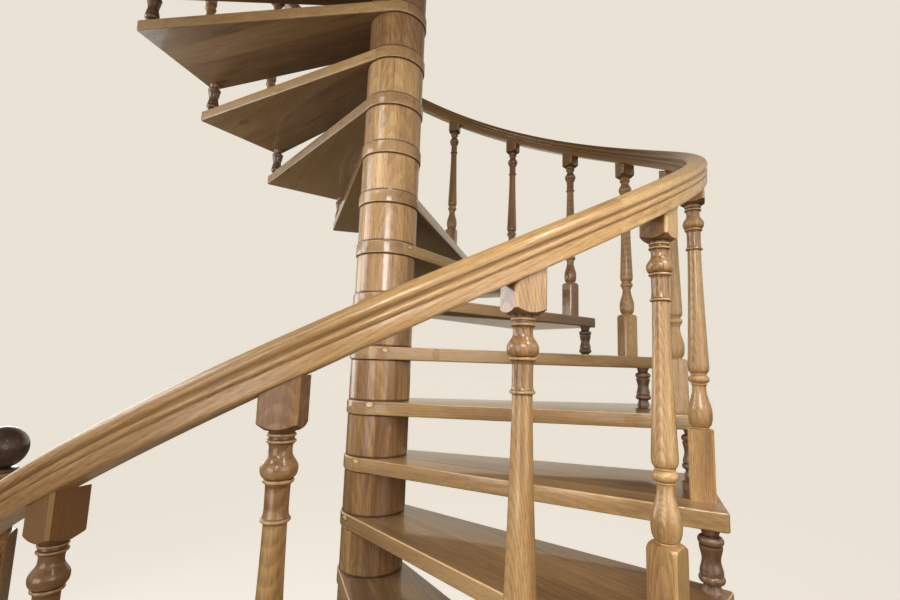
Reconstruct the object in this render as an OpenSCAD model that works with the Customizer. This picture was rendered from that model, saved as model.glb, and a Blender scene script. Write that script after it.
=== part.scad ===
// Spiral staircase of turned and varnished oak, with open risers.
// Treads with round collars are stacked between turned drums on a central column.
// Balusters stand at the outer ends and carry a moulded rail that climbs in a helix.
// Millimetres. The origin is on the column's axis at floor level, with +Z up.

/* [Stair] */
// Number of treads
treads = 17; // [8:1:17]
// Height from the top of one tread to the top of the next
rise = 195; // [175:1:215]
// Turn from one tread to the next, in degrees
turn = 20.8; // [18:0.1:21]
// Direction of the first tread's front edge, in degrees
start_angle = -152.2; // [-180:0.1:180]

/* [Column] */
// Radius of the turned drums between the treads
drum_r = 112.5; // [95:0.5:113]
// Radius of the round collar at each tread's inner end
collar_r = 118; // [118:0.5:130]
// Height of the drum that stands on the last tread
top_drum_h = 148; // [60:1:400]
// Thickness of the cap on the last drum
cap_t = 42; // [25:1:60]

/* [Treads] */
// Thickness of a tread
tread_t = 47; // [38:1:60]
// Distance from the column's axis to the middle of a tread's outer end
tread_len = 1108; // [900:1:1200]
// Radius of the rounded edges, above and below
edge_r = 4.5; // [2:0.5:5]
// Radius of the outer corners, seen from above
corner_r = 12; // [8:1:24]
// Distance from the column's axis to the line of a tread's front or rear edge
edge_offset = 116.5; // [110:0.5:116.5]

/* [Spindles] */
// Largest diameter of a short spindle, at its beads
spindle_d = 60; // [50:1:62]
// Diameter of a spindle at its waist
spindle_waist_d = 43; // [34:1:48]
// Distance from a tread's front edge back to its spindle's axis
spindle_edge = 33; // [32:1:45]
// Distance from a tread's outer end in to the spindles' circle
spindle_inset = 23; // [20:1:40]

/* [Balusters] */
// Side of a baluster's square blocks
baluster_s = 63; // [62:1:66]
// Distance from a tread's outer end in to the balusters' circle
baluster_inset = 39; // [36:1:60]
// Height of the base block, with its turned shoulder
base_block_h = 184; // [150:1:220]
// Radius of the shaft near its foot
shaft_foot_r = 27; // [22:0.5:28]
// Radius of the shaft at its upper ring
shaft_top_r = 18.5; // [15:0.5:21]
// Radius of the vase on the base block
vase_r = 30.5; // [26:0.5:31]
// Radius of the vase under the top block
top_vase_r = 28; // [24:0.5:30]
// Radius of the bead under the shaft
bead_r = 26.5; // [24:0.5:28]
// Radius of the four thin rings
ring_r = 22.5; // [22:0.5:25]

/* [Handrail] */
// Height of the rail's underside over a tread, at the baluster
rail_h = 883; // [860:1:980]
// Width of the rail
rail_w = 56; // [50:1:64]
// Depth of the rail, square to its run
rail_d = 69; // [60:1:80]
// Distance of the rail's middle outside the balusters' circle
rail_offset = 14; // [0:1:20]

/* [Newels] */
// Side of a newel's square blocks
newel_s = 95; // [80:1:98]
// Height of a newel's base block, with its shoulder
newel_base_h = 215; // [180:1:260]
// Height of the block that the rail runs into, from the rail's underside up
newel_block_up = 137; // [125:1:200]
// Height of the same block below the rail's underside
newel_block_down = 55; // [40:1:90]
// Height of the turned part over that block
newel_neck_h = 160; // [100:1:220]
// Radius of the ball on a newel
ball_r = 56; // [40:1:60]
// Radius of the ring under the ball
ball_ring_r = 40; // [30:1:44]

/* [Hidden] */
// Eased edges on the square blocks
block_ease = 4;
// Height at which the first spindle ends over the floor, so that the column alone bears the stair
floor_gap = 0.3;
// Points in each curved run of a turned outline
curve_steps = 8;
// Rings of the rail from one tread to the next
rail_rings = 8;
// Lengths that the rail is joined from
rail_parts = 4;
// Clearance left where a flat top meets the rail's twisted underside
seat_gap = 0.03;

function two(n) = str(n < 10 ? "0" : "", n);
function tread_name(n) = str("tread_", two(n));
function baluster_name(n) = str("baluster_", two(n));
function rail_name(n) = str("handrail_", n);

oak = [0.66, 0.47, 0.29];
dark_oak = [0.42, 0.29, 0.19];
tread_oak = [0.52, 0.38, 0.25];

// Each spindle stands as far from the rear edge of one tread as from the front edge of the next,
// and the angle between a tread's edges follows from that
gap_h = rise - tread_t;
spindle_r = tread_len - spindle_inset;
spindle_angle = asin((edge_offset - spindle_edge) / spindle_r);
wedge = turn - 2 * spindle_angle;
half_wedge = wedge / 2;
front_out = [-sin(half_wedge), -cos(half_wedge)];

// Places on a tread, with its middle line along X
front_root = edge_offset * front_out;
corner_centre = [tread_len - corner_r,
    -(edge_offset - corner_r + (tread_len - corner_r) * sin(half_wedge)) / cos(half_wedge)];
corner_front = corner_centre + corner_r * front_out;
corner_end = corner_centre + [corner_r, 0];

// Places of the balusters and newels
baluster_r = tread_len - baluster_inset;
newel_reach = newel_s / 2 * (cos(half_wedge) + sin(half_wedge));
newel_r = (tread_len - 1 - newel_reach) / cos(half_wedge);

// The rail climbs this much for each degree
climb = rise / turn;
rail_r = baluster_r + rail_offset;
rail_slope = atan(climb * 180 / PI / rail_r);
baluster_slope = atan(climb * 180 / PI / baluster_r);
half_block = baluster_s / 2;
twist_gap = seat_gap
    + climb * (atan(half_block / (baluster_r - half_block)) - half_block * 180 / PI / baluster_r);
step_angle = turn / rail_rings;

function tread_top(n) = n * rise;
function tread_dir(n) = start_angle + (n - 1) * turn;
function rail_z(angle) = rise + rail_h + (angle - start_angle) * climb;

// Treads

// Section through a board with one rounded edge along Y, and its wood at +X
module edge_section() {
    far = tread_len * 2;
    translate([0, edge_r])
        square([far, tread_t - 2 * edge_r]);
    translate([edge_r, 0])
        square([far, tread_t]);
    for (y = [edge_r, tread_t - edge_r])
        translate([edge_r, y])
            circle(edge_r, $fn = 48);
}

// A board that lies to the left of a line with a rounded edge along it
module board_left_of(from, to) {
    run = to - from;
    past = collar_r;
    translate([from.x, from.y, 0])
        rotate([0, 0, atan2(run.y, run.x)])
            translate([-past, 0, 0])
                rotate([90, 0, 90])
                    linear_extrude(height = norm(run) + 2 * past)
                        edge_section();
}

module tread_outline() {
    polygon([front_root, corner_front, corner_end, [corner_end.x, -corner_end.y],
        [corner_front.x, -corner_front.y], [front_root.x, -front_root.y]]);
    translate(corner_centre)
        circle(corner_r, $fn = 48);
    translate([corner_centre.x, -corner_centre.y])
        circle(corner_r, $fn = 48);
}

module tread_wedge() {
    intersection() {
        linear_extrude(height = tread_t)
            tread_outline();
        board_left_of(front_root, corner_front);
        mirror([0, 1, 0])
            board_left_of(front_root, corner_front);
        board_left_of(corner_end, [corner_end.x, -corner_end.y]);
    }
}

// The round collar that the column's drums hold
module tread_collar() {
    rotate_extrude($fn = 128) {
        square([collar_r - edge_r, tread_t]);
        translate([0, edge_r])
            square([collar_r, tread_t - 2 * edge_r]);
        for (y = [edge_r, tread_t - edge_r])
            translate([collar_r - edge_r, y])
                circle(edge_r, $fn = 48);
    }
}

module tread_board() {
    tread_wedge();
    tread_collar();
}

module tread(n) {
    color(tread_oak)
        translate([0, 0, tread_top(n) - tread_t])
            rotate([0, 0, tread_dir(n) + half_wedge])
                tread_board();
}

// Turned outlines

// A run from one [radius, height] to another that is upright at both ends
function swell(a, b) =
    [for (i = [0:curve_steps]) let (s = i / curve_steps)
        [a.x + (b.x - a.x) * (1 - cos(180 * s)) / 2, a.y + (b.y - a.y) * s]];

// A quarter-round run that starts level and ends upright
function round_out(a, b) =
    [for (i = [0:curve_steps]) let (t = 90 * i / curve_steps)
        [a.x + (b.x - a.x) * sin(t), a.y + (b.y - a.y) * (1 - cos(t))]];

// A quarter-round run that starts upright and ends level
function round_in(a, b) =
    [for (i = [0:curve_steps]) let (t = 90 * i / curve_steps)
        [a.x + (b.x - a.x) * (1 - cos(t)), a.y + (b.y - a.y) * sin(t)]];

// A slightly hollow run that narrows from one [radius, height] to another
function hollow_taper(a, b) =
    [for (i = [0:curve_steps]) let (s = i / curve_steps)
        [b.x + (a.x - b.x) * pow(1 - s, 1.4), a.y + (b.y - a.y) * s]];

module bead(radius, z, height) {
    translate([radius - height / 2, z])
        circle(d = height, $fn = 32);
}

// A core outline with beads added, turned round the Z axis
module turned(outline) {
    rotate_extrude($fn = 96) {
        polygon(concat([[0, outline[0].y]], outline, [[0, outline[len(outline) - 1].y]]));
        children();
    }
}

module square_bar(side, height) {
    c = side / 2;
    e = c - block_ease;
    linear_extrude(height = height)
        polygon([[c, -e], [c, e], [e, c], [-e, c], [-c, e], [-c, -e], [-e, -c], [e, -c]]);
}

function corner_reach(side) = side / sqrt(2);

// Column

module column_drums() {
    color(oak) {
        for (n = [1:treads])
            translate([0, 0, tread_top(n) - rise])
                cylinder(r = drum_r, h = gap_h, $fn = 128);
        translate([0, 0, tread_top(treads)])
            cylinder(r = drum_r, h = top_drum_h, $fn = 128);
    }
}

cap_z = treads * rise + top_drum_h;
cap_neck_r = ball_ring_r * 0.8;

module column_cap() {
    lip_h = cap_t * 0.45;
    color(oak)
        translate([0, 0, cap_z])
            turned(concat([[collar_r - lip_h / 2, 0], [collar_r - lip_h / 2, lip_h]],
                    round_in([collar_r - lip_h, lip_h], [cap_neck_r, cap_t])))
                bead(collar_r, lip_h / 2, lip_h);
}

// The ball with its ring, standing on z = 0
module ball_finial() {
    ring_h = 12;
    neck_r = ball_ring_r * 0.55;
    centre = ring_h + sqrt(ball_r * ball_r - neck_r * neck_r) + 1;
    rotate_extrude($fn = 96) {
        square([ball_ring_r - ring_h / 2, ring_h]);
        bead(ball_ring_r, ring_h / 2, ring_h);
        square([neck_r, centre]);
        translate([0, centre])
            intersection() {
                circle(ball_r, $fn = 96);
                translate([0, -ball_r])
                    square([ball_r, 2 * ball_r]);
            }
    }
}

module column_ball() {
    color(dark_oak)
        translate([0, 0, cap_z + cap_t])
            ball_finial();
}

// Short spindles that hold each tread off the one below

module riser_spindle(height) {
    end_r = spindle_d * 0.4;
    bead_h = height * 0.16;
    bead_z = height * 0.2;
    body_r = spindle_d / 2 - 3;
    waist = spindle_waist_d / 2;
    turned(concat(
            [[end_r, 0], [end_r, bead_z]],
            swell([body_r, bead_z + bead_h / 3], [waist, height / 2]),
            swell([waist, height / 2], [body_r, height - bead_z - bead_h / 3]),
            [[end_r, height - bead_z], [end_r, height]])) {
        bead(spindle_d / 2, bead_z, bead_h);
        bead(spindle_d / 2, height - bead_z, bead_h);
    }
}

module riser_spindles() {
    color(dark_oak)
        for (n = [1:treads]) {
            lift = n == 1 ? floor_gap : 0;
            rotate([0, 0, tread_dir(n) - spindle_angle])
                translate([spindle_r, 0, tread_top(n) - rise + lift])
                    riser_spindle(gap_h - lift);
        }
}

// Balusters

// Space over a plane that slopes up along +Y at the given angle, through height z
module above_slope(z, slope, side) {
    reach = side * 2;
    translate([0, 0, z])
        rotate([slope, 0, 0])
            translate([-reach, -reach, 0])
                cube([2 * reach, 2 * reach, reach]);
}

module baluster_turning() {
    top = rail_h;
    wide = corner_reach(baluster_s);
    shoulder = baluster_s * 0.22;
    foot = base_block_h;
    groove_r = ring_r - 3;
    neck_r = shaft_top_r - 1;
    neck_z = foot + 108;
    bead_z = neck_z + 25;
    shaft_z = bead_z + 18;
    taper_z = top - 199;
    drum_z = top - 143;
    vase_z = top - 126;
    low_ring_z = top - 84.5;
    high_ring_z = top - 75;
    block_z = top - 68;
    turned(concat(
            [[wide, 0]],
            round_in([wide, foot - shoulder], [half_block - 5, foot]),
            [[shaft_top_r + 3.5, foot], [shaft_top_r + 3.5, foot + 5]],
            round_out([shaft_top_r + 4, foot + 5], [vase_r, foot + 35]),
            swell([vase_r, foot + 41], [neck_r, neck_z]),
            [[neck_r, bead_z], [shaft_top_r + 3, shaft_z - 4]],
            round_out([shaft_foot_r - 6, shaft_z], [shaft_foot_r, shaft_z + 16]),
            hollow_taper([shaft_foot_r, shaft_z + 18], [neck_r, taper_z]),
            round_out([groove_r, taper_z], [neck_r + 0.5, taper_z + 18]),
            [[neck_r + 1, drum_z], [groove_r, drum_z + 4]],
            round_out([groove_r + 0.5, drum_z + 4], [top_vase_r, vase_z]),
            swell([top_vase_r, vase_z + 2], [neck_r, low_ring_z - 16]),
            round_in([neck_r, low_ring_z - 11], [groove_r, low_ring_z]),
            [[groove_r, block_z], [half_block - 4, block_z]],
            [[wide, block_z + 10], [wide, top + baluster_s]])) {
        bead(bead_r, bead_z, 24);
        bead(ring_r, taper_z, 6);
        bead(ring_r + 1, drum_z, 7);
        bead(ring_r, low_ring_z, 6);
        bead(ring_r - 0.5, high_ring_z, 6);
    }
}

module baluster(n) {
    color(oak)
        rotate([0, 0, tread_dir(n)])
            translate([baluster_r, 0, tread_top(n)])
                difference() {
                    intersection() {
                        square_bar(baluster_s, rail_h + baluster_s);
                        baluster_turning();
                    }
                    above_slope(rail_h - twist_gap, baluster_slope, baluster_s);
                }
}

// Handrail

// One side of the rail's section as [across, up], from the underside to the crown
function rail_side() = let (w = rail_w / 2, d = rail_d) concat(
    [[w * 0.72, 0], [w * 0.9, d * 0.03], [w * 0.93, d * 0.09], [w * 0.93, d * 0.26]],
    [[w * 0.8, d * 0.3], [w * 0.83, d * 0.35]],
    [[w * 0.95, d * 0.39], [w * 0.99, d * 0.46], [w * 0.95, d * 0.53]],
    [[w * 0.76, d * 0.57], [w * 0.8, d * 0.63]],
    [for (t = [0:22.5:67.5]) [w * cos(t), d * (0.7 + 0.3 * sin(t))]]);

function other_side(points) = [for (i = [len(points) - 1:-1:0]) [-points[i].x, points[i].y]];

rail_section = concat(rail_side(), [[0, rail_d]], other_side(rail_side()));
section_points = len(rail_section);

// A ring of the rail at one angle, and a ring that lies flat against a newel's side
function rail_point(p, angle) = let (r = rail_r + p.x)
    [r * cos(angle), r * sin(angle), rail_z(angle) + p.y / cos(rail_slope)];
function rail_ring(angle) = [for (p = rail_section) rail_point(p, angle)];
function newel_ring(angle, side) =
    [for (p = rail_section) rail_point(p, angle + side * asin(newel_s / 2 / (rail_r + p.x)))];

last_dir = tread_dir(treads);
total_steps = (treads - 1) * rail_rings;
// Steps that a newel takes up at each end
end_steps = ceil(asin(newel_s / 2 / rail_r) / step_angle + 0.3);
function part_step(n) = n == 0 ? 0 : n == rail_parts ? total_steps
    : round(total_steps * n / rail_parts) + rail_rings / 2;

module handrail(n) {
    first = part_step(n - 1);
    last = part_step(n);
    rings = concat(
        n == 1 ? [newel_ring(start_angle, 1)] : [],
        [for (i = [max(first, end_steps):min(last, total_steps - end_steps)])
            rail_ring(start_angle + i * step_angle)],
        n == rail_parts ? [newel_ring(last_dir, -1)] : []);
    count = len(rings);
    m = section_points;
    color(oak)
        polyhedron(
            points = [for (ring = rings) each ring],
            faces = concat(
                [[for (j = [0:m - 1]) j]],
                [for (i = [0:count - 2]) for (j = [0:m - 1]) let (k = (j + 1) % m)
                    each [[i * m + j, (i + 1) * m + j, (i + 1) * m + k],
                        [i * m + j, (i + 1) * m + k, i * m + k]]],
                [[for (j = [m - 1:-1:0]) (count - 1) * m + j]]),
            convexity = 8);
}

// Newels

module newel(n) {
    block_low = rail_h - newel_block_down;
    block_top = rail_h + newel_block_up;
    half = newel_s / 2;
    wide = corner_reach(newel_s);
    shoulder = newel_s * 0.25;
    waist = half * 0.5;
    top = block_top + newel_neck_h;
    color(oak)
        rotate([0, 0, tread_dir(n)])
            translate([newel_r, 0, tread_top(n)])
                intersection() {
                    square_bar(newel_s, top);
                    turned(concat(
                            [[wide, 0]],
                            round_in([wide, newel_base_h - shoulder], [half - 6, newel_base_h]),
                            [[waist + 6, newel_base_h], [waist + 6, newel_base_h + 12]],
                            swell([waist + 12, newel_base_h + 12], [half - 2, newel_base_h + 60]),
                            swell([half - 2, newel_base_h + 60], [waist, newel_base_h + 170]),
                            [[waist, newel_base_h + 200], [waist + 13, newel_base_h + 225]],
                            [[waist + 13, newel_base_h + 245], [waist + 3, block_low - 130]],
                            [[waist + 3, block_low - 90]],
                            swell([waist + 3, block_low - 90], [half - 6, block_low - 60]),
                            swell([half - 6, block_low - 60], [waist + 3, block_low - 25]),
                            [[waist + 3, block_low - 12], [half - 6, block_low - 12]],
                            round_out([half - 6, block_low - 12], [wide, block_low + 8]),
                            [[wide, block_top - 8]],
                            round_in([wide, block_top - 8], [half - 4, block_top + 6]),
                            round_in([half - 4, block_top + 6], [waist, block_top + 56]),
                            swell([waist, block_top + 56], [ball_ring_r - 6, top]))) {
                        bead(half - 4, newel_base_h + 185, 26);
                        bead(waist + 8, block_low - 130, 12);
                        bead(waist + 8, block_low - 90, 12);
                    }
                }
}

module newel_ball(n) {
    color(dark_oak)
        rotate([0, 0, tread_dir(n)])
            translate([newel_r, 0, tread_top(n) + rail_h + newel_block_up + newel_neck_h])
                ball_finial();
}

for (n = [1:treads])
    tread(n);
column_drums();
column_cap();
column_ball();
riser_spindles();
for (n = [2:treads - 1])
    baluster(n);
for (n = [1:rail_parts])
    handrail(n);
newel(1);  // newel_start
newel_ball(1);  // newel_start_ball
newel(treads);  // newel_top
newel_ball(treads);  // newel_top_ball
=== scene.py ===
from math import acos, asin, atan, ceil, cos, hypot, pi, radians, sin, sqrt

import bmesh
import bpy
from mathutils import Matrix, Vector


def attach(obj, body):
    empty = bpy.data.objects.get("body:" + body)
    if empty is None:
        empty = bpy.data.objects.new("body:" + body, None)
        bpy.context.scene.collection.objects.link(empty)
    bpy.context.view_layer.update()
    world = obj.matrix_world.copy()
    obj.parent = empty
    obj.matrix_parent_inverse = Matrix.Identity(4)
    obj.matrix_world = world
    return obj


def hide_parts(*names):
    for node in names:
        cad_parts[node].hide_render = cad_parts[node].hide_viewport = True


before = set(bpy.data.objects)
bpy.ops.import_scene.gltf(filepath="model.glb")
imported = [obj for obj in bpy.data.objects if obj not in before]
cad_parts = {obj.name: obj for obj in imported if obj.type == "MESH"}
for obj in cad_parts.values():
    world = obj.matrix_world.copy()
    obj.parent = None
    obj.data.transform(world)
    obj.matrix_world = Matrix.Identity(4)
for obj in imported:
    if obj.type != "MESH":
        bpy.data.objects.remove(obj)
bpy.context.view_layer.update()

# The stair: treads, drums and collars
TREADS = 17
RISE = 0.195
TURN = radians(20.8)
START = radians(-152.2)
TREAD_T = 0.047
TREAD_LEN = 1.108
EDGE_R = 0.0045
CORNER_R = 0.012
EDGE_OFFSET = 0.1165
DRUM_R = 0.1125
COLLAR_R = 0.118
TOP_DRUM_H = 0.148
CAP_T = 0.042
GAP_H = RISE - TREAD_T

# The short spindles between the treads
SPINDLE_R = 0.03
SPINDLE_WAIST_R = 0.0215
SPINDLE_EDGE = 0.033
SPINDLE_REACH = TREAD_LEN - 0.023
SPINDLE_ANGLE = asin((EDGE_OFFSET - SPINDLE_EDGE) / SPINDLE_REACH)
FLOOR_GAP = 0.0003

# A tread's edges: half the angle between them, and the angle at which they meet the collar
HALF_WEDGE = (TURN - 2 * SPINDLE_ANGLE) / 2
EDGE_MEETS = pi / 2 + HALF_WEDGE - acos(EDGE_OFFSET / COLLAR_R)

# The balusters and the rail that they carry
BALUSTER_S = 0.063
BALUSTER_REACH = TREAD_LEN - 0.039
RAIL_H = 0.883
RAIL_W = 0.056
RAIL_D = 0.069
RAIL_REACH = BALUSTER_REACH + 0.014
RAIL_PARTS = 4
CLIMB = RISE / TURN
RAIL_SLOPE = atan(CLIMB / RAIL_REACH)
BALUSTER_SLOPE = atan(CLIMB / BALUSTER_REACH)
BLOCK_GAP = 0.00051

# The newels at both ends
NEWEL_S = 0.095
NEWEL_INSET = 0.001 + NEWEL_S / 2 * (cos(HALF_WEDGE) + sin(HALF_WEDGE))
NEWEL_REACH = (TREAD_LEN - NEWEL_INSET) / cos(HALF_WEDGE)
NEWEL_BLOCK_LOW = RAIL_H - 0.055
NEWEL_BLOCK_TOP = RAIL_H + 0.137
NEWEL_TOP = NEWEL_BLOCK_TOP + 0.16
BALL_R = 0.056
BALL_RING_R = 0.04

# Steps round a full turn of the pieces, and the angle of one step of the rail
DRUM_STEPS = 120
BALL_STEPS = 64
TURNED_STEPS = 48
SPINDLE_STEPS = 36
RAIL_STEP = TURN / 16

# Steps in tone and figure from one piece to the next, and from strip to strip within a piece
GOLDEN = 0.61803
STRIP_SHIFT = 0.377


def tread_top(n):
    return n * RISE


def tread_dir(n):
    return START + (n - 1) * TURN


def rail_z(angle):
    """Height of the rail's underside at an angle round the stair."""
    return RISE + RAIL_H + (angle - START) * CLIMB


def at(angle, reach=0.0, height=0.0):
    """Where a piece stands: out from the axis at an angle, and turned to face along it."""
    return Matrix.Rotation(angle, 4, "Z") @ Matrix.Translation((reach, 0, height))


# Finishes


class Value:
    """What comes out of a socket. Arithmetic on it adds Math nodes."""

    def __init__(self, finish, socket):
        self.finish = finish
        self.socket = socket

    def math(self, operation, *others, first=None):
        parts = ([] if first is None else [first]) + [self] + list(others)
        return self.finish.node("ShaderNodeMath", {"operation": operation}, dict(enumerate(parts)))

    def __add__(self, other):
        return self.math("ADD", other)

    __radd__ = __add__

    def __mul__(self, other):
        return self.math("MULTIPLY", other)

    __rmul__ = __mul__

    def __sub__(self, other):
        return self.math("SUBTRACT", other)

    def __rsub__(self, other):
        return self.math("SUBTRACT", first=other)

    def __truediv__(self, other):
        return self.math("DIVIDE", other)

    def __pow__(self, other):
        return self.math("POWER", other)

    def between(self, low, high):
        """0 below low and 1 above high, with a smooth step from one to the other."""
        settings = {"interpolation_type": "SMOOTHSTEP"}
        return self.finish.node("ShaderNodeMapRange", settings, {0: self, 1: low, 2: high})


class Graph:
    """The nodes of a material or of the surroundings, and the one method that adds them."""

    def __init__(self, tree):
        self.tree = tree

    def node(self, kind, settings=None, inputs=None, output=0):
        made = self.tree.nodes.new(kind)
        for name, value in (settings or {}).items():
            setattr(made, name, value)
        for name, value in (inputs or {}).items():
            if isinstance(value, Value):
                self.tree.links.new(value.socket, made.inputs[name])
            else:
                made.inputs[name].default_value = value
        return Value(self, made.outputs[output])

    def attribute(self, name, output="Fac"):
        return self.node("ShaderNodeAttribute", {"attribute_name": name}, output=output)

    def vector(self, operation, *parts, output=0, scale=None):
        inputs = dict(enumerate(parts))
        if scale is not None:
            inputs["Scale"] = scale
        return self.node("ShaderNodeVectorMath", {"operation": operation}, inputs, output)

    def blend(self, first, second, share, mode="MIX"):
        """Two colours mixed by a share, or multiplied and the like."""
        settings = {"data_type": "RGBA", "blend_type": mode}
        return self.node("ShaderNodeMix", settings, {0: share, 6: first, 7: second}, output=2)

    def noise(self, place, scale, detail=2.0, roughness=0.5, output=0):
        inputs = {"Vector": place, "Scale": scale, "Detail": detail, "Roughness": roughness}
        return self.node("ShaderNodeTexNoise", {}, inputs, output)

    def grained(self, place, along, across, detail=2.0, roughness=0.5, output=0):
        """Noise with one fineness along the grain, which runs in x, and another across it."""
        stretched = self.vector("MULTIPLY", place, (along, across, across))
        return self.noise(stretched, 1.0, detail, roughness, output)


class Finish(Graph):
    """A material."""

    def __init__(self, name, **constants):
        self.material = bpy.data.materials.new(name)
        self.material.use_nodes = True
        super().__init__(self.material.node_tree)
        self.shader = self.tree.nodes["Principled BSDF"]
        for socket, value in constants.items():
            self.shader.inputs[socket.replace("_", " ").title()].default_value = value

    def give(self, **results):
        for socket, value in results.items():
            self.tree.links.new(value.socket, self.shader.inputs[socket.replace("_", " ").title()])


def srgb(red, green, blue):
    """A colour as it looks on a screen, from 0 to 255, as the shader's own values."""
    share = [c / 255 for c in (red, green, blue)]
    return tuple(c / 12.92 if c < 0.04045 else ((c + 0.055) / 1.055) ** 2.4 for c in share) + (1.0,)


def oak(name, pale, mid, dark, pore, board=0.0, figure=1.0, gloss=0.08,
        ring=0.0042, taper=0.06, rings=0.13, knot=0.5):
    """Varnished oak whose grain follows the attribute of that name, which has its length along x.

    Growth rings bend round a heart outside the board, pores lie in the rings as short dark
    dashes, and every board or stave has a tone of its own. The attributes "spot" and "hole"
    measure from the piece's own knot and screw hole and "nick" from a painted glint with painted
    shadow round it. "stain" darkens or pales the wood, partly for its tone and partly as painted
    light and shade, "shade" is painted shade on a face under a ledge, "relief" is 1 in a hollow and
    below 0 on a ridge, "arris" is up to 1 on an edge paled by wear and painted highlight, and
    "matt" thins the varnish.
    """
    finish = Finish(name, coat_roughness=gloss)
    grain = finish.attribute("grain", "Vector")
    piece = finish.attribute("piece")
    if board:
        across = finish.node("ShaderNodeSeparateXYZ", {}, {0: grain}, output=1)
        piece = piece + (across / board + piece * 3.7).math("FLOOR") * STRIP_SHIFT
    chance = finish.node("ShaderNodeTexWhiteNoise", {"noise_dimensions": "1D"}, {"W": piece * 91.7}, 1)
    tone = finish.node("ShaderNodeSeparateXYZ", {}, {0: chance}, output=0)

    # The wood runs round its knot, and wanders a little from side to side
    spot = finish.vector("MULTIPLY", finish.attribute("spot", "Vector"), (0.45, 1.0, 1.0))
    from_knot = finish.vector("LENGTH", spot, output=1)
    near_knot = 1 - from_knot.between(0.004, 0.03)
    push = finish.vector("SCALE", spot, scale=near_knot * -1.1)
    shift = finish.vector("MULTIPLY", chance, (9.0, 7.0, 5.0))
    local = finish.vector("ADD", grain, push)
    place = finish.vector("ADD", local, shift)
    slow = finish.grained(place, 1.6, 5.0, 1.0, output=1)
    wander = finish.vector("SUBTRACT", slow, (0.5, 0.5, 0.5))
    sway = finish.vector("MULTIPLY", wander, (0.0, 0.03, 0.03))
    bent = finish.vector("ADD", place, sway)

    # Rings round a heart that lies to one side, tapering along the tree
    heart = finish.vector("SUBTRACT", chance, (0.5, 0.5, 0.5))
    heart = finish.vector("MULTIPLY", heart, (0.0, 0.12, 0.12))
    aside = finish.vector("SUBTRACT", finish.vector("ADD", local, sway), heart)
    aside = finish.vector("ADD", aside, (0.0, 0.03, 0.045))
    from_heart = finish.vector("LENGTH", finish.vector("MULTIPLY", aside, (taper, 1.0, 1.0)), output=1)
    uneven = finish.grained(place, 1.4, 12.0)
    year = (from_heart / ring + uneven * 2.2).math("FRACT")
    early = year.between(0.0, 0.2) * (1 - year.between(0.3, 1.0))

    # Fibres, flecks, broad streaks and pores
    fine = finish.grained(bent, 16.0, 420.0) - 0.5
    fleck = finish.grained(bent, 38.0, 290.0, roughness=0.6) - 0.5
    streak = finish.grained(bent, 3.2, 64.0) - 0.5
    cloud = finish.grained(bent, 1.8, 11.0, 1.0) - 0.5
    dash = finish.grained(bent, 60.0, 1300.0, 1.0)
    pores = dash.between(0.52, 0.66) * (0.2 + early * 0.8)
    smoke = finish.grained(bent, 2.4, 36.0).between(0.6, 0.74)

    depth = 0.56 + fine * 0.55 + (fleck * 0.7 + streak * 0.85 + cloud * 1.1) * figure
    depth = depth - early * rings * figure + (tone - 0.5) * 0.4 - smoke * 0.3
    depth = depth - finish.attribute("tone_and_painted_light")
    colour = finish.blend(dark, mid, depth.between(-0.1, 0.6))
    colour = finish.blend(colour, pale, depth.between(0.4, 1.15))
    colour = finish.blend(colour, pore, pores * 0.42)

    # The knot, with its rings and its dark rim
    swirl = (from_knot / 0.0016 + uneven * 1.5).math("FRACT").between(0.1, 0.6)
    inside = 1 - from_knot.between(0.0045, 0.0065)
    rim = from_knot.between(0.0035, 0.0055) * (1 - from_knot.between(0.006, 0.0095))
    colour = finish.blend(colour, dark, inside * (0.45 + swirl * 0.4) * knot)
    colour = finish.blend(colour, pore, rim * knot)
    from_hole = finish.vector("LENGTH", finish.attribute("hole", "Vector"), output=1)
    crease = tuple(c * 0.55 for c in pore[:3]) + (1.0,)
    colour = finish.blend(colour, crease, (1 - from_hole.between(0.0045, 0.007)) * 0.85)

    # Hollows are darker, partly stain and partly painted shade, a face under a ledge has painted shade,
    # and ridges and arrises are paler, partly wear and partly painted highlight
    relief = finish.attribute("relief")
    shade = finish.attribute("shade")
    hollow = relief.math("MAXIMUM", shade)
    ridge = (relief * -1.0 - shade * 2.0).math("MAXIMUM", finish.attribute("arris"))
    colour = finish.blend(colour, crease, hollow * 0.9)
    wear_and_painted_highlight = tuple(min(1.0, c * 1.3) for c in pale[:3]) + (1.0,)
    colour = finish.blend(colour, wear_and_painted_highlight, (ridge * (0.75 + streak * 1.6)).math("MINIMUM", 0.95))
    # A painted glint: a pale spot with a ring of painted shadow round it
    painted_glint = finish.vector("MULTIPLY", finish.attribute("painted_glint", "Vector"), (0.55, 1.0, 1.0))
    from_painted_glint = finish.vector("LENGTH", painted_glint, output=1)
    from_painted_glint = from_painted_glint + (fleck + streak) * 0.012
    colour = finish.blend(colour, crease, (1 - from_painted_glint.between(0.008, 0.014)) * 0.4)
    colour = finish.blend(colour, wear_and_painted_highlight, 1 - from_painted_glint.between(0.0045, 0.0085))

    # Varnish: glossy, a little uneven, thin over the pores
    sag = finish.grained(place, 6.0, 14.0)
    worn = sag.between(0.6, 0.8)
    rough = 0.4 + fine * 0.2 + pores * 0.2 + worn * 0.1
    coat = (0.95 - worn * 0.25 - pores * 0.3 - hollow * 0.6) * (1 - finish.attribute("matt"))
    height = fine * 0.2 + early * -0.2 + pores * -0.7 + sag * 1.3
    bump = finish.node("ShaderNodeBump", {}, {"Strength": 0.3, "Distance": 0.0006, "Height": height})
    finish.give(base_color=colour, roughness=rough, coat_weight=coat, normal=bump)
    return finish.material


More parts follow.
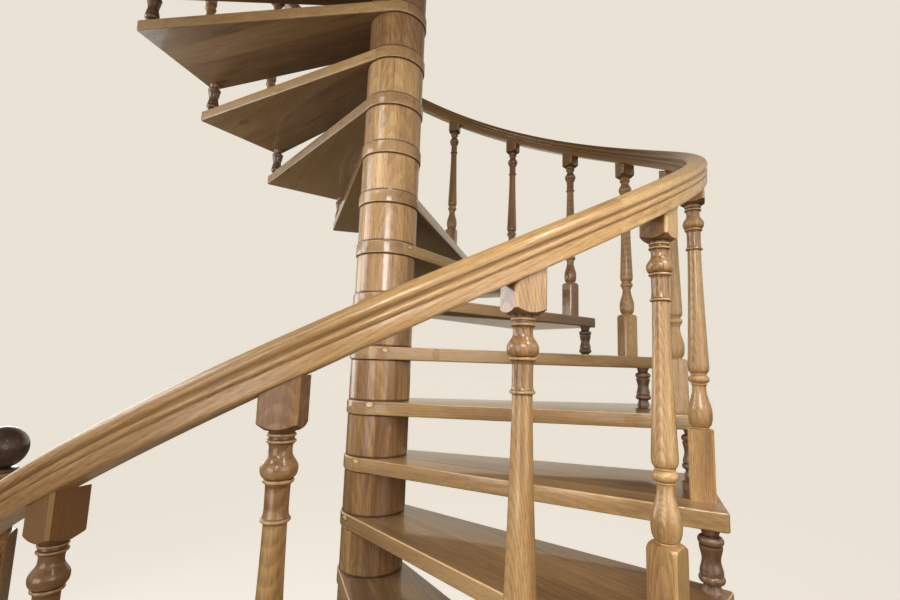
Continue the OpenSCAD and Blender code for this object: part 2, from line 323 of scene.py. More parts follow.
pore_tone = srgb(92, 62, 38)
treads_look = oak("tread_oak", srgb(218, 180, 124), srgb(178, 139, 90), srgb(126, 92, 58), pore_tone,
                  board=0.118, figure=0.55)
column_look = oak("column_oak", srgb(230, 190, 134), srgb(190, 147, 94), srgb(138, 99, 60), pore_tone,
                  gloss=0.15, knot=0.3)
baluster_look = oak("baluster_oak", srgb(228, 186, 128), srgb(190, 146, 92), srgb(142, 102, 62),
                    pore_tone, ring=0.0034, taper=0.14, rings=0.2)
rail_look = oak("rail_oak", srgb(236, 200, 140), srgb(204, 160, 102), srgb(158, 116, 68), pore_tone,
                figure=0.8, gloss=0.2)
spindle_look = oak("spindle_oak", srgb(154, 116, 84), srgb(124, 92, 66), srgb(90, 64, 44), srgb(48, 31, 22))
ball_look = oak("ball_oak", srgb(122, 92, 77), srgb(98, 73, 61), srgb(72, 53, 44), srgb(42, 29, 24))


# Making a piece


def flat_edges_sharp(bm, angle=radians(32)):
    for face in bm.faces:
        face.smooth = True
    for edge in bm.edges:
        if len(edge.link_faces) == 2 and edge.calc_face_angle(0.0) > angle:
            edge.smooth = False


# A place in the wood that no piece reaches, and the share of its size at which a knot is measured
FAR = Vector((9, 9, 9))
KNOT_SCALE = 0.45


def add_piece(node, bm, look, grain, place=Matrix(), piece=0.0, stave=None, knot=FAR,
              hole=FAR, painted_glint=FAR, tone_and_painted_light=None):
    """Gives a modelled shape its grain, puts it in place and lets it stand for its node.

    grain turns a point of the shape into its place in the wood, and stave turns a face's middle
    into the tone of the strip of wood that it is cut from. knot, hole and nick are places in the
    wood, nick that of a painted glint, and stain tells how much darker the wood is at a point of the
    shape, partly for its tone and partly as painted light and shade.
    """
    grains = bm.verts.layers.float_vector.new("grain")
    spots = bm.verts.layers.float_vector.new("spot")
    holes = bm.verts.layers.float_vector.new("hole")
    painted_glints = bm.verts.layers.float_vector.new("painted_glint")
    tones_and_painted_light = bm.verts.layers.float.new("tone_and_painted_light")
    tones = bm.faces.layers.float.new("piece")
    for vert in bm.verts:
        vert[grains] = grain(vert.co)
        vert[spots] = (vert[grains] - knot) * KNOT_SCALE
        vert[holes] = vert[grains] - hole
        vert[painted_glints] = vert[grains] - painted_glint
        vert[tones_and_painted_light] = tone_and_painted_light(vert.co) if tone_and_painted_light else 0.0
    for face in bm.faces:
        own = stave(face.calc_center_median()) if stave else 0.0
        face[tones] = (piece + own) % 1.0
    bm.transform(place)
    # Known fault: this leaves the faces of treads 1 to 3 pointing inwards
    bmesh.ops.recalc_face_normals(bm, faces=bm.faces)
    flat_edges_sharp(bm)
    mesh = bpy.data.meshes.new(node + "_wood")
    bm.to_mesh(mesh)
    bm.free()
    mesh.materials.append(look)
    made = bpy.data.objects.new(node + "_wood", mesh)
    bpy.context.scene.collection.objects.link(made)
    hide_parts(node)
    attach(made, "root")


def along_x(co):
    return co


def along_front(co):
    """The boards of a tread run along its front edge."""
    return Matrix.Rotation(HALF_WEDGE, 3, "Z") @ co


def along_z(co):
    return Vector((co.z, co.x, co.y))


def join_shapes(shapes):
    """One bmesh that holds several, which are emptied into it."""
    whole = bmesh.new()
    for bm in shapes:
        mesh = bpy.data.meshes.new("part")
        bm.to_mesh(mesh)
        bm.free()
        whole.from_mesh(mesh)
        bpy.data.meshes.remove(mesh)
    return whole


# Turning


def swell(low, high, steps=10):
    """A run between two (radius, height) points that is upright at both ends."""
    (r0, z0), (r1, z1) = low, high
    shares = [i / steps for i in range(steps + 1)]
    return [(r0 + (r1 - r0) * (1 - cos(pi * s)) / 2, z0 + (z1 - z0) * s) for s in shares]


def round_out(low, high, steps=8):
    """A quarter-round run that starts level and ends upright."""
    (r0, z0), (r1, z1) = low, high
    turns = [pi / 2 * i / steps for i in range(steps + 1)]
    return [(r0 + (r1 - r0) * sin(t), z0 + (z1 - z0) * (1 - cos(t))) for t in turns]


def round_in(low, high, steps=8):
    """A quarter-round run that starts upright and ends level."""
    (r0, z0), (r1, z1) = low, high
    turns = [pi / 2 * i / steps for i in range(steps + 1)]
    return [(r0 + (r1 - r0) * (1 - cos(t)), z0 + (z1 - z0) * sin(t)) for t in turns]


def bead(radius, z, height, steps=8):
    """A half-round ring whose outside is at a radius."""
    half = height / 2
    turns = [pi * i / steps - pi / 2 for i in range(steps + 1)]
    return [(radius - half + half * cos(t), z + half * sin(t)) for t in turns]


def with_relief(outline, reach=0.0036):
    """(radius, height, relief) along an outline: 1 in a sharp hollow, below 0 on a ridge.

    On a long run the dark of a hollow ends within reach, and a ridge beside a deep hollow is
    darkened with it. That dark is partly stain and partly painted shade.
    """
    marked = []
    for i, (r, z) in enumerate(outline):
        relief = 0.0
        if 0 < i < len(outline) - 1:
            (ra, za), (rb, zb) = outline[i - 1], outline[i + 1]
            before, after = Vector((r - ra, z - za)), Vector((rb - r, zb - z))
            if before.length > 1e-7 and after.length > 1e-7:
                bend = before.normalized().cross(after.normalized())
                hollow = min(1.0, max(0.0, -bend * 1.7 - 0.25))
                ridge = min(0.8, max(0.0, bend * 1.2 - 0.2))
                relief = hollow - ridge
        if relief > 0 and before.length > 2 * reach:
            step = before.normalized() * reach
            marked.append((r - step.x, z - step.y, 0.0))
        marked.append((r, z, relief))
        if relief > 0 and after.length > 2 * reach:
            step = after.normalized() * reach
            marked.append((r + step.x, z + step.y, 0.0))
    deep = {i for i, (r, z, relief) in enumerate(marked) if relief > 0.7}
    return [(r, z, 0.4 if relief < 0 and {i - 1, i + 1} & deep else relief)
            for i, (r, z, relief) in enumerate(marked)]


def turned(outline, steps=TURNED_STEPS):
    """A closed outline from the axis back to the axis, spun round Z."""
    bm = bmesh.new()
    reliefs = bm.verts.layers.float.new("relief")
    chain = []
    for r, z, relief in with_relief(outline):
        if chain and (chain[-1].co - Vector((r, 0, z))).length < 1e-6:
            continue
        chain.append(bm.verts.new((r, 0, z)))
        chain[-1][reliefs] = relief
    for low, high in zip(chain, chain[1:]):
        bm.edges.new((low, high))
    bmesh.ops.spin(bm, geom=bm.verts[:] + bm.edges[:], cent=(0, 0, 0), axis=(0, 0, 1),
                   dvec=(0, 0, 0), angle=2 * pi, steps=steps, use_merge=True, use_duplicate=False)
    bmesh.ops.remove_doubles(bm, verts=bm.verts, dist=1e-6)
    bmesh.ops.recalc_face_normals(bm, faces=bm.faces)
    return bm


def slice_off(bm, point, outward):
    """Cuts away what lies beyond a plane and closes the cut."""
    cut = bmesh.ops.bisect_plane(bm, geom=bm.verts[:] + bm.edges[:] + bm.faces[:], dist=1e-7,
                                 plane_co=point, plane_no=outward, clear_outer=True)["geom_cut"]
    edges = [e for e in cut if isinstance(e, bmesh.types.BMEdge)]
    bmesh.ops.edgeloop_fill(bm, edges=edges)


# A point further out than this share of a square block's width lies on its flat side
FLAT_SHARE = 0.499


def square_off(bm, side):
    """Saws the four flat sides of the square blocks, and marks the eased corners between them."""
    corner_r = side * 0.6
    for quarter in range(4):
        outward = Matrix.Rotation(quarter * pi / 2, 3, "Z") @ Vector((1, 0, 0))
        slice_off(bm, outward * side / 2, outward)
    relief = bm.verts.layers.float["relief"]
    for vert in bm.verts:
        x, y, _ = vert.co
        if max(abs(x), abs(y)) > side * FLAT_SHARE or hypot(x, y) > corner_r:
            vert[relief] = 0.0
    # The eased corners are paler: partly wear and partly painted highlight
    arris = bm.faces.layers.float.new("arris")
    for face in bm.faces:
        middle = face.calc_center_median()
        if abs(face.normal.z) < 0.2 and hypot(middle.x, middle.y) > corner_r:
            face[arris] = 0.3


# Treads

# A point this near a tread's upper or lower face lies in it
FLUSH = 1e-5


def tread_shape(thin):
    """A tread with its middle line along X, its collar round the axis and its underside at z = 0.

    thin is how much thinner the varnish is below.
    """
    corner = Vector((TREAD_LEN, -(EDGE_OFFSET + TREAD_LEN * sin(HALF_WEDGE)) / cos(HALF_WEDGE), 0))
    bm = bmesh.new()
    start = bm.verts.new(Matrix.Rotation(EDGE_MEETS, 3, "Z") @ Vector((COLLAR_R, 0, 0)))
    bmesh.ops.spin(bm, geom=[start], cent=(0, 0, 0), axis=(0, 0, 1), dvec=(0, 0, 0),
                   angle=2 * (pi - EDGE_MEETS), steps=DRUM_STEPS // 2)
    ends = [v for v in bm.verts if len(v.link_edges) == 1]
    ends.sort(key=lambda v: v.co.y)
    front_corner = bm.verts.new(corner)
    rear_corner = bm.verts.new((corner.x, -corner.y, 0))
    for pair in ((ends[0], front_corner), (front_corner, rear_corner), (rear_corner, ends[-1])):
        bm.edges.new(pair)
    bmesh.ops.bevel(bm, geom=[front_corner, rear_corner], offset=CORNER_R, offset_type="OFFSET",
                    affect="VERTICES", segments=6, profile=0.5, material=-1)
    board = bmesh.ops.contextual_create(bm, geom=bm.edges[:])["faces"]
    raised = bmesh.ops.extrude_face_region(bm, geom=board)["geom"]
    upper = [g for g in raised if isinstance(g, bmesh.types.BMVert)]
    bmesh.ops.translate(bm, vec=(0, 0, TREAD_T), verts=upper)
    bmesh.ops.recalc_face_normals(bm, faces=bm.faces)
    rims = [e for e in bm.edges if abs(e.verts[0].co.z - e.verts[1].co.z) < 1e-6]
    bmesh.ops.bevel(bm, geom=rims, offset=EDGE_R, offset_type="OFFSET", affect="EDGES",
                    segments=6, profile=0.5, material=-1)
    bm.normal_update()
    on_collar = COLLAR_R + 0.0005
    # The upper edge is paled by wear and painted highlight, the collar's lower edge by painted highlight
    arris = bm.faces.layers.float.new("arris")
    for face in bm.faces:
        lean = face.normal.z ** 2
        middle = face.calc_center_median()
        if middle.z > TREAD_T / 2:
            face[arris] = min(1.0, 4 * lean * (1 - lean))
        elif hypot(middle.x, middle.y) < on_collar and middle.z > EDGE_R * 0.45:
            face[arris] = min(0.95, 8 * lean)
    # Painted shade darkens the lower edge, most of all where it meets the collar
    relief = bm.verts.layers.float.new("relief")
    matt = bm.verts.layers.float.new("matt")
    for vert in bm.verts:
        vert[matt] = thin * (vert.co.z < FLUSH)
        if vert.co.z < EDGE_R * 0.4:
            vert[relief] = 0.6 if hypot(vert.co.x, vert.co.y) < on_collar else 0.25
    return bm


# One tread has a knot, and each has a screw near the spindle that stands on it and a painted glint,
# a small pale spot with painted shadow round it, where its front edge runs out on the collar
KNOTS = {15: Vector((0.911, 0.201, 0))}
SCREW_ANGLE = TURN - HALF_WEDGE - SPINDLE_ANGLE - 0.022
SCREW = along_front(at(SCREW_ANGLE) @ Vector((SPINDLE_REACH, 0, 0)))
PAINTED_GLINT_ANGLE = EDGE_MEETS + radians(10.5)
PAINTED_GLINT = along_front(at(-PAINTED_GLINT_ANGLE) @ Vector((COLLAR_R, 0, TREAD_T - 0.012)))

# Painted light and shade make some treads darker or paler on top, on their sides or below, and
# some have thin varnish below
DARKER_TOPS = {5: 0.3}
DARKER_SIDES = {5: -0.2, 6: -0.6, 10: 0.6, 11: 0.55, 12: 0.55, 13: 0.15}
DARKER_BELOW = {10: -0.5, 11: -1.2, 12: -0.5, 13: -0.7, 14: -0.7}
THIN_BELOW = {15: 0.6, 16: 0.6, 17: 0.6}


def tread_painted_light(n, co):
    """Painted shade darkens a tread's top outside its collar, and the underside of its collar."""
    from_axis = hypot(co.x, co.y)
    outside = from_axis > COLLAR_R
    if co.z < FLUSH:
        return (0.05 if outside else 0.45) + DARKER_BELOW.get(n, 0.0)
    if co.z > TREAD_T - FLUSH:
        return (0.34 if outside else 0.0) + DARKER_TOPS.get(n, 0.0)
    return DARKER_SIDES.get(n, 0.0) if from_axis > COLLAR_R + 0.001 else 0.0


for n in range(1, TREADS + 1):
    add_piece(f"tread_{n:02}", tread_shape(THIN_BELOW.get(n, 0.0)), treads_look, along_front,
              at(tread_dir(n) + HALF_WEDGE, height=tread_top(n) - TREAD_T), n * GOLDEN,
              knot=KNOTS.get(n, FAR), hole=SCREW, painted_glint=PAINTED_GLINT, tone_and_painted_light=lambda co: tread_painted_light(n, co))


# Column


def drum_shape(height, z):
    """A drum on its lower end, with dark joints: a deep one at the top and a fine one below.

    Its rings say how far out from its side they are, how high, and how dark.
    """
    rings = [(-0.001, 0, 1.0), (0, 0.0062, 0.85), (0, 0.0088, 0.0), (0, height - 0.0062, 0.0),
             (0, height - 0.0036, 0.75), (-0.0028, height, 1.0)]
    bm = turned([(0, 0)] + [(DRUM_R + out, up) for out, up, _ in rings] + [(0, height)], DRUM_STEPS)
    relief = bm.verts.layers.float["relief"]
    for vert in bm.verts:
        nearest = min(rings, key=lambda ring: abs(ring[1] - vert.co.z))
        vert[relief] = nearest[2]
    bmesh.ops.translate(bm, vec=(0, 0, z), verts=bm.verts)
    return bm


STAVES = 12
DRUM_KNOT = Vector((2.624, -0.0215, -0.1104))


def drum_stave(middle):
    """The tone of the stave that a face of a drum is cut from."""
    drum = int(middle.z / RISE)
    turn = (Vector((middle.x, middle.y)).angle_signed(Vector((1, 0)), 0.0) / (2 * pi)) % 1.0
    return int(((turn + drum * GOLDEN) % 1.0) * STAVES) * STRIP_SHIFT + drum * GOLDEN


# Some of the drums are darker or paler, and all of the low ones are darker: partly the wood's tone
# and partly painted light and shade
DARKER_DRUMS = {6: 0.42, 8: 0.17, 9: 0.28, 10: -0.03, 11: 0.05, 12: -0.2, 13: -0.06, 14: -0.04,
                15: 0.38, 16: 0.3}
LOW_DRUMS = 8


def drum_tone_and_painted_light(co):
    drum = int(co.z / RISE + 0.01)
    return DARKER_DRUMS.get(drum, 0.3 if drum < LOW_DRUMS else 0.0)


drums = [drum_shape(GAP_H, n * RISE) for n in range(TREADS)]
drums.append(drum_shape(TOP_DRUM_H, TREADS * RISE))
add_piece("column_drums", join_shapes(drums), column_look, along_z, stave=drum_stave,
          knot=DRUM_KNOT, tone_and_painted_light=drum_tone_and_painted_light)

CAP_Z = TREADS * RISE + TOP_DRUM_H
LIP_H = CAP_T * 0.45
cap = [(0, 0)] + bead(COLLAR_R, LIP_H / 2, LIP_H) + round_in((COLLAR_R - LIP_H, LIP_H), (0.032, CAP_T))
add_piece("column_cap", turned(cap + [(0, CAP_T)], DRUM_STEPS), column_look, along_x,
          at(0, height=CAP_Z), 0.43)


def ball_outline():
    """A ball on its neck and ring, from z = 0 up."""
    ring_h = 0.012
    neck_r = BALL_RING_R * 0.55
    centre = ring_h + sqrt(BALL_R ** 2 - neck_r ** 2) + 0.001
    low = -acos(neck_r / BALL_R)
    turns = [low + (pi / 2 - low) * i / 32 for i in range(33)]
    ball = [(BALL_R * cos(t), centre + BALL_R * sin(t)) for t in turns]
    return [(0, 0)] + bead(BALL_RING_R, ring_h / 2, ring_h) + [(neck_r, ring_h)] + ball


add_piece("column_ball", turned(ball_outline(), BALL_STEPS), ball_look, along_z,
          at(0, height=CAP_Z + CAP_T), 0.27)


# Spindles between the treads


def spindle_shape(height, z, angle):
    """A short spindle of a height, standing at z and at an angle round the stair."""
    end_r = SPINDLE_R * 0.8
    bead_h = height * 0.16
    bead_z = height * 0.2
    body_r = SPINDLE_R - 0.003
    low, middle, high = bead_z + bead_h / 2, height / 2, height - bead_z - bead_h / 2
    outline = [(0, 0), (end_r, 0)] + bead(SPINDLE_R, bead_z, bead_h)
    outline += swell((body_r, low), (SPINDLE_WAIST_R, middle))
    outline += swell((SPINDLE_WAIST_R, middle), (body_r, high))
    outline += bead(SPINDLE_R, height - bead_z, bead_h) + [(end_r, height), (0, height)]
    bm = turned(outline, SPINDLE_STEPS)
    bm.transform(at(angle, SPINDLE_REACH, z))
    return bm


spindles = []
for n in range(1, TREADS + 1):
    lift = FLOOR_GAP if n == 1 else 0.0
    angle = tread_dir(n) - SPINDLE_ANGLE
    spindles.append(spindle_shape(GAP_H - lift, tread_top(n - 1) + lift, angle))
add_piece("riser_spindles", join_shapes(spindles), spindle_look, along_z,
          stave=lambda middle: int(middle.z / RISE) * GOLDEN)


# Balusters


BLOCK_R = 0.0412
BASE_H = 0.184
SHAFT_FOOT_R = 0.027
NECK_R = 0.0175
UPPER_BLOCK = RAIL_H - 0.067
UPPER_TURNINGS = RAIL_H - 0.2


def hollow_taper(low, high, steps=12):
    """A slightly hollow run that narrows from one (radius, height) to another."""
    (r0, z0), (r1, z1) = low, high
    shares = [i / steps for i in range(steps + 1)]
    return [(r1 + (r0 - r1) * (1 - s) ** 1.4, z0 + (z1 - z0) * s) for s in shares]


def baluster_outline():
    """Radii and heights of a baluster over its tread, before the blocks are sawn square."""
    foot = BASE_H
    top = RAIL_H
    outline = [(0, 0), (BLOCK_R, 0)] + round_in((BLOCK_R, foot - 0.0139), (0.0265, foot))
    outline += [(0.0212, foot)] + bead(0.0222, foot + 0.0024, 0.0044) + [(0.0205, foot + 0.0052)]
    outline += round_out((0.0212, foot + 0.0056), (0.0305, foot + 0.035))
    outline += swell((0.0305, foot + 0.041), (NECK_R, foot + 0.108))
    outline += round_in((NECK_R, foot + 0.112), (0.0205, foot + 0.1185), 5) + [(0.0207, foot + 0.121)]
    outline += bead(0.0265, foot + 0.133, 0.0236) + [(0.0207, foot + 0.1455), (0.0212, foot + 0.1485)]
    outline += round_out((0.0212, foot + 0.151), (SHAFT_FOOT_R, foot + 0.167))
    outline += hollow_taper((SHAFT_FOOT_R, foot + 0.169), (NECK_R, top - 0.2024))
    outline += [(0.0196, top - 0.2022)] + bead(0.0225, top - 0.1992, 0.0056, 6)
    outline += round_out((0.0205, top - 0.1962), (0.018, top - 0.181))
    outline += [(0.0184, top - 0.15), (0.0198, top - 0.1472)] + bead(0.0235, top - 0.143, 0.0068, 6)
    outline += [(0.0198, top - 0.1392)] + round_out((0.0203, top - 0.139), (0.028, top - 0.126))
    outline += swell((0.028, top - 0.1242), (NECK_R, top - 0.1005))
    outline += round_in((NECK_R, top - 0.0965), (0.0202, top - 0.0878), 6)
    outline += bead(0.0225, top - 0.0846, 0.0056, 6) + [(0.0194, top - 0.0814)]
    outline += [(0.0194, top - 0.0786)] + bead(0.022, top - 0.0752, 0.0056, 6)
    outline += [(0.0195, top - 0.0718), (0.0197, top - 0.068), (0.0275, top - 0.0678)]
    return outline + [(BLOCK_R, top - 0.0582), (BLOCK_R, top + 0.06), (0, top + 0.06)]


def baluster_shape(thin):
    """A baluster on its tread. thin is how much thinner the varnish is on its upper block."""
    bm = turned(baluster_outline())
    square_off(bm, BALUSTER_S)
    slope = Vector((0, -sin(BALUSTER_SLOPE), cos(BALUSTER_SLOPE)))
    slice_off(bm, Vector((0, 0, RAIL_H - BLOCK_GAP)), slope)
    bm.normal_update()
    shade = bm.faces.layers.float.new("shade")
    matt = bm.faces.layers.float.new("matt")
    for face in bm.faces:
        height = face.calc_center_median().z
        face[matt] = thin * (height > UPPER_BLOCK)
        # Painted shade on the sloping face under the upper block
        below_block = RAIL_H - 0.069 < height < RAIL_H - 0.05 and face.normal.z < -0.3
        face[shade] = 0.6 * below_block
    return bm


# Painted light and shade: some balusters are darker or paler, some upper blocks more so, one of
# these has a side in painted shade, and one has thin varnish
DARKER = {2: 0.3, 3: 0.34, 4: 0.16, 8: -0.12, 9: -0.1, 10: 0.14, 11: 0.2, 12: 0.36, 13: 0.2}
DARKER_BLOCKS = {2: 0.3, 3: 0.3, 4: 0.2, 5: -0.22, 6: -0.6, 9: 0.5, 10: 0.5, 11: 0.3, 12: 0.7, 13: 0.5}
DARKER_BACKS = {6: 0.85}
THIN_BLOCKS = {4: 0.7}


def baluster_painted_light(n, co):
    """Painted shade darkens the upper turnings, most of all their necks."""
    upper = co.z > UPPER_TURNINGS
    block = co.z > UPPER_BLOCK
    neck = upper and hypot(co.x, co.y) < 0.0205
    back = DARKER_BACKS.get(n, 0.0) if block and co.y < -BALUSTER_S * FLAT_SHARE else 0.0
    return DARKER.get(n, 0.0) + 0.18 * upper + 0.15 * neck + DARKER_BLOCKS.get(n, 0.0) * block + back


for n in range(2, TREADS):
    add_piece(f"baluster_{n:02}", baluster_shape(THIN_BLOCKS.get(n, 0.0)), baluster_look,
              along_z, at(tread_dir(n), BALUSTER_REACH, tread_top(n)), n * GOLDEN + 0.3,
              tone_and_painted_light=lambda co: baluster_painted_light(n, co))


# Newels


def newel_outline():
    """Radii and heights of a newel over its tread, before the blocks are sawn square."""
    half = NEWEL_S / 2
    wide = NEWEL_S * 0.67
    shoulder = half - 0.006
    waist = half * 0.5
    neck = waist + 0.003
    foot = 0.215
    low = NEWEL_BLOCK_LOW
    high = NEWEL_BLOCK_TOP
    outline = [(0, 0), (wide, 0)] + round_in((wide, foot - 0.023), (shoulder, foot))
    outline += [(waist + 0.006, foot), (waist + 0.006, foot + 0.012)]
    outline += swell((waist + 0.012, foot + 0.012), (half - 0.002, foot + 0.06))
    outline += swell((half - 0.002, foot + 0.06), (waist, foot + 0.17))
    outline += bead(half - 0.004, foot + 0.185, 0.026) + [(waist + 0.009, foot + 0.2)]
    outline += round_out((waist + 0.009, foot + 0.2), (waist + 0.013, foot + 0.212), 5)
    outline += [(waist + 0.013, foot + 0.225), (neck, low - 0.137)]
    outline += bead(waist + 0.008, low - 0.13, 0.012) + [(neck, low - 0.122)]
    outline += [(neck, low - 0.098)] + bead(waist + 0.008, low - 0.09, 0.012)
    outline += swell((neck, low - 0.083), (shoulder, low - 0.06))
    outline += swell((shoulder, low - 0.06), (neck, low - 0.025))
    outline += [(neck, low - 0.012), (shoulder, low - 0.012)]
    outline += round_out((shoulder, low - 0.012), (wide, low + 0.008))
    outline += [(wide, high - 0.008)] + round_in((wide, high - 0.008), (half - 0.004, high + 0.006))
    outline += round_in((half - 0.004, high + 0.006), (waist, high + 0.056))
    return outline + swell((waist, high + 0.056), (BALL_RING_R - 0.006, NEWEL_TOP)) + [(0, NEWEL_TOP)]


for n, name in ((1, "newel_start"), (TREADS, "newel_top")):
    post = turned(newel_outline())
    square_off(post, NEWEL_S)
    add_piece(name, post, baluster_look, along_z,
              at(tread_dir(n), NEWEL_REACH, tread_top(n)), n * GOLDEN + 0.1)
    add_piece(name + "_ball", turned(ball_outline(), BALL_STEPS), ball_look, along_z,
              at(tread_dir(n), NEWEL_REACH, tread_top(n) + NEWEL_TOP), n * GOLDEN)


# Handrail


def rail_side():
    """One side of the rail's section as (across, up, hollow), from the underside to the crown."""
    w, d = RAIL_W / 2, RAIL_D

    def arc(centre, size, first, last, steps):
        (across, up), (wide, tall) = centre, size
        turns = [radians(first + (last - first) * i / steps) for i in range(steps + 1)]
        return [(across * w + wide * w * cos(t), (up + tall * sin(t)) * d, 0.0) for t in turns]

    under = [(w * 0.72, 0, 0.0)] + arc((0.83, 0.08), (0.1, 0.075), -70, 0, 4)
    flat = [(w * 0.93, d * 0.33, 0.0), (w * 0.918, d * 0.348, 0.2)]
    groove = [(w * 0.87, d * 0.36, 0.6), (w * 0.87, d * 0.38, 0.6), (w * 0.89, d * 0.395, 0.1)]
    fillet = arc((0.86, 0.465), (0.11, 0.072), -60, 62, 8) + [(w * 0.85, d * 0.55, 0.3)]
    quirk = [(w * 0.82, d * 0.568, 0.6), (w * 0.825, d * 0.6, 0.6), (w * 0.86, d * 0.625, 0.25)]
    crown = [(w * 0.95, d * 0.65, 0.0)] + arc((0, 0.7), (1.0, 0.3), 0, 87, 14)
    return under + flat + groove + fillet + quirk + crown


def climbed(co):
    """The angle round the stair from the rail's low end to a point of the rail."""
    return (co.z - RISE - RAIL_H - RAIL_D / 2) / CLIMB


def rail_grain(co):
    """Place in the rail's wood: along its run, across it and up from its underside."""
    turn = Vector((co.x, co.y)).angle_signed(Vector((1, 0)), 0.0)
    rough = START + climbed(co)
    turn += round((rough - turn) / (2 * pi)) * 2 * pi
    along = turn * RAIL_REACH / cos(RAIL_SLOPE)
    return Vector((along, hypot(co.x, co.y) - RAIL_REACH, co.z - rail_z(turn)))


def ramp(angle, low, high):
    """0 up to a low angle and 1 from a high one, both in degrees, with an even run between."""
    return min(1.0, max(0.0, (angle - radians(low)) / radians(high - low)))


# A point of the rail that lies lower than this in its wood is on its underside
RAIL_FOOT = 0.001


def rail_shape(first, last):
    """A length of the rail between two angles, with its varnish worn thin at the low end."""
    bm = bmesh.new()
    reliefs = bm.verts.layers.float.new("relief")
    side = rail_side()
    section = side + [(0, RAIL_D, 0.0)] + [(-x, y, relief) for x, y, relief in reversed(side)]
    ring = []
    for across, up, relief in section:
        place = Vector((RAIL_REACH + across, 0, rail_z(first) + up / cos(RAIL_SLOPE)))
        ring.append(bm.verts.new(Matrix.Rotation(first, 3, "Z") @ place))
        ring[-1][reliefs] = relief
    edges = [bm.edges.new(pair) for pair in zip(ring, ring[1:] + ring[:1])]
    steps = ceil((last - first) / RAIL_STEP)
    bmesh.ops.spin(bm, geom=ring + edges, cent=(0, 0, 0), axis=(0, 0, 1), angle=last - first,
                   dvec=(0, 0, (last - first) / steps * CLIMB), steps=steps)
    ends = [e for e in bm.edges if len(e.link_faces) == 1]
    bmesh.ops.edgeloop_fill(bm, edges=ends)
    bmesh.ops.recalc_face_normals(bm, faces=bm.faces)
    matt = bm.verts.layers.float.new("matt")
    for vert in bm.verts:
        worn = 1 - ramp(climbed(vert.co), 51.8, 65.8)
        vert[matt] = 0.8 * worn * (rail_grain(vert.co).z > RAIL_FOOT)
    return bm


def newel_face(n, side):
    """A point on a newel's flat side, and that side's outward direction along the rail."""
    turn = Matrix.Rotation(tread_dir(n), 3, "Z")
    return turn @ Vector((NEWEL_REACH, side * NEWEL_S / 2, 0)), turn @ Vector((0, side, 0))


def rail_tone_and_painted_light(co):
    """The rail is paler below and darker at its low end, and it darkens on its way up.

    Its inner side darkens first and most. The paler underside is painted light, and the darkening
    on the way up and on the inner side is painted shade.
    """
    angle = climbed(co)
    low_end = 0.4 * (1 - min(1.0, angle / radians(75)))
    in_wood = rail_grain(co)
    if in_wood.z < RAIL_FOOT:
        return low_end - 0.6
    if in_wood.y < -RAIL_W * 0.4:
        return low_end + 0.9 * ramp(angle, 120, 140)
    return low_end + 0.5 * ramp(angle, 144, 184)


# The rail's lengths meet half way between balusters
joint_steps = [0] + [round((TREADS - 1) * 8 * k / RAIL_PARTS) + 4 for k in range(1, RAIL_PARTS)]
joints = [START + step * TURN / 8 for step in joint_steps] + [tread_dir(TREADS)]
for k in range(RAIL_PARTS):
    length = rail_shape(joints[k], joints[k + 1])
    if k == 0:
        point, outward = newel_face(1, 1)
        slice_off(length, point, -outward)
    if k == RAIL_PARTS - 1:
        point, outward = newel_face(TREADS, -1)
        slice_off(length, point, -outward)
    add_piece(f"handrail_{k + 1}", length, rail_look, rail_grain, piece=k * GOLDEN + 0.2,
              tone_and_painted_light=rail_tone_and_painted_light)


# Camera, floor and light

PHOTO_W = 900
FOCAL_PX = 474.275
SENSOR_W = 36
CAMERA_PLACE = (0.256, -1.8187, 1.704)
CAMERA_PAN = radians(0.07)
CAMERA_TILT = radians(90 + 7.56)
CAMERA_ROLL = radians(1.86)
camera_data = bpy.data.cameras.new("camera")
camera_data.sensor_width = SENSOR_W
camera_data.lens = FOCAL_PX / PHOTO_W * SENSOR_W
camera_data.clip_start = 0.02
camera = bpy.data.objects.new("camera", camera_data)
bpy.context.scene.collection.objects.link(camera)
camera_turn = Matrix.Rotation(CAMERA_PAN, 4, "Z") @ Matrix.Rotation(CAMERA_TILT, 4, "X")
camera_turn = camera_turn @ Matrix.Rotation(CAMERA_ROLL, 4, "Z")
camera.matrix_world = Matrix.Translation(CAMERA_PLACE) @ camera_turn
bpy.context.scene.camera = camera

# The camera sees a pale floor with the stair's shadow on it, and a warmer, darker one lights the stair
floor_shape = bmesh.new()
bmesh.ops.create_circle(floor_shape, cap_ends=True, segments=96, radius=60)
floor_mesh = bpy.data.meshes.new("floor")
floor_shape.to_mesh(floor_mesh)
floor_shape.free()
floor_look = Finish("floor", roughness=0.9, emission_strength=1.0)
mottle = floor_look.noise(floor_look.node("ShaderNodeTexCoord", output=3), 3.0, 3.0)
pale_floor = floor_look.blend(srgb(178, 172, 163), srgb(184, 179, 171), mottle)
seen_directly = floor_look.node("ShaderNodeLightPath", output="Is Camera Ray")
pale_floor = floor_look.blend(srgb(188, 172, 148), pale_floor, seen_directly)
floor_glow = floor_look.blend(srgb(0, 0, 0), srgb(226, 219, 207), seen_directly)
floor_look.give(base_color=pale_floor, emission_color=floor_glow)
floor_mesh.materials.append(floor_look.material)
floor = bpy.data.objects.new("floor", floor_mesh)
floor.location.z = -0.0005
bpy.context.scene.collection.objects.link(floor)


WARM = (1.0, 0.985, 0.96)
COOL = (0.93, 0.97, 1.0)


def add_light(name, place, aim, size, power, spread=180, colour=WARM, mirrored=True):
    """A square softbox at a place, turned to what it lights, and mirrored in the varnish or not."""
    data = bpy.data.lights.new(name, "AREA")
    data.shape = "SQUARE"
    data.size = size
    data.energy = power
    data.spread = radians(spread)
    data.color = colour
    light = bpy.data.objects.new(name, data)
    light.location = place
    light.visible_glossy = mirrored
    light.rotation_euler = (Vector(aim) - Vector(place)).to_track_quat("-Z", "Y").to_euler()
    bpy.context.scene.collection.objects.link(light)


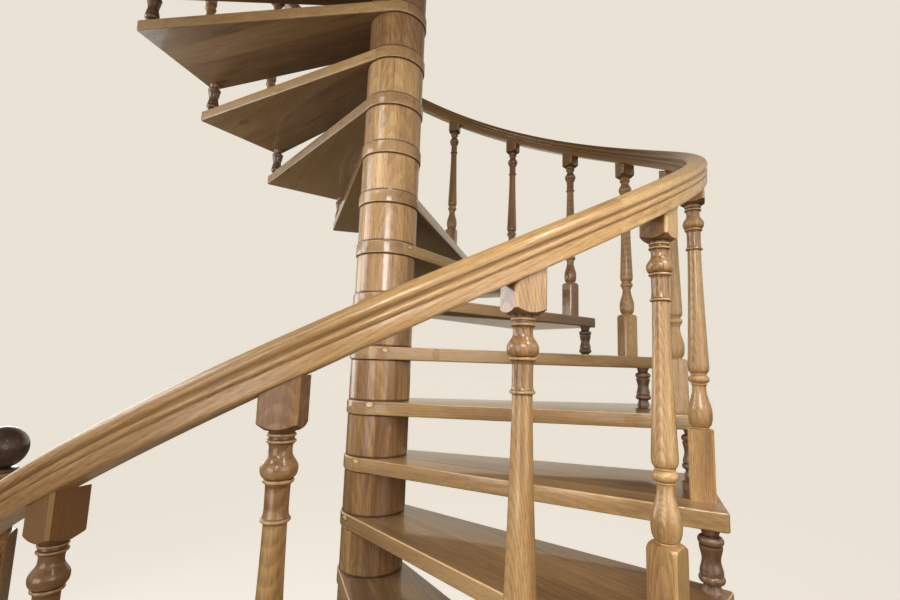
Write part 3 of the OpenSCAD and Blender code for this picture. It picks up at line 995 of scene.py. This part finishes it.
add_light("left", (-3.0, -0.4, 3.0), (0, 0, 2.0), 1.4, 27.2, colour=COOL)
add_light("low_left", (-2.2, -1.5, 1.2), (0, 0, 2.0), 1.0, 6.375, colour=COOL, mirrored=False)
add_light("far_left", (-2.7, 1.2, 2.0), (0, 0, 2.0), 1.4, 18.7, colour=COOL)
add_light("front_left", (-1.35, -2.9, 1.6), (0, 0, 1.9), 1.5, 21.25)
add_light("front_right", (1.84, -2.62, 1.9), (0, 0, 2.0), 1.5, 11.9)
add_light("column_beam", (0.3, -2.4, 2.6), (0, 0, 2.4), 0.8, 2.38, 50)
add_light("stair_beam", (0.3, -2.4, 2.6), (0.75, -0.6, 1.5), 0.8, 2.04, 50)
add_light("high_right", (1.6, -1.8, 3.6), (0.75, -0.6, 1.5), 0.8, 2.04, 50)
add_light("high_left", (-1.5, -1.8, 3.6), (0, 0, 1.5), 0.8, 1.7, 50)

# Soft light comes mostly from the front right and from behind, and the camera sees a plain backdrop
BACKDROP = srgb(233, 226, 213)
world = bpy.data.worlds.new("world")
world.use_nodes = True
bpy.context.scene.world = world
air = Graph(world.node_tree)
towards = air.node("ShaderNodeTexCoord")


def glow(side):
    """Soft light that is strongest from one side."""
    return air.vector("DOT_PRODUCT", towards, side, output=1).math("MAXIMUM", 0.0) ** 4


front_right = glow((0.853, -0.492, 0.174))
behind = glow((0.0, 0.985, 0.174))
height = air.node("ShaderNodeSeparateXYZ", {}, {0: towards}, output=2)
level = height.between(-0.3, 0.0) * (1 - height.between(0.35, 0.8))
reflected = air.node("ShaderNodeLightPath", output="Is Glossy Ray")
strength = front_right * 0.6 + behind * 0.38 + level * reflected * 0.38
soft = air.node("ShaderNodeBackground", {}, {0: srgb(255, 240, 216), 1: strength})
seen = air.node("ShaderNodeBackground", {}, {0: BACKDROP})
direct = air.node("ShaderNodeLightPath", output="Is Camera Ray")
through = air.node("ShaderNodeLightPath", output="Is Transmission Ray")
mixed = air.node("ShaderNodeMixShader", {}, {0: direct.math("MAXIMUM", through), 1: soft, 2: seen})
air.tree.links.new(mixed.socket, air.tree.nodes["World Output"].inputs[0])

bpy.context.scene.view_settings.view_transform = "Standard"
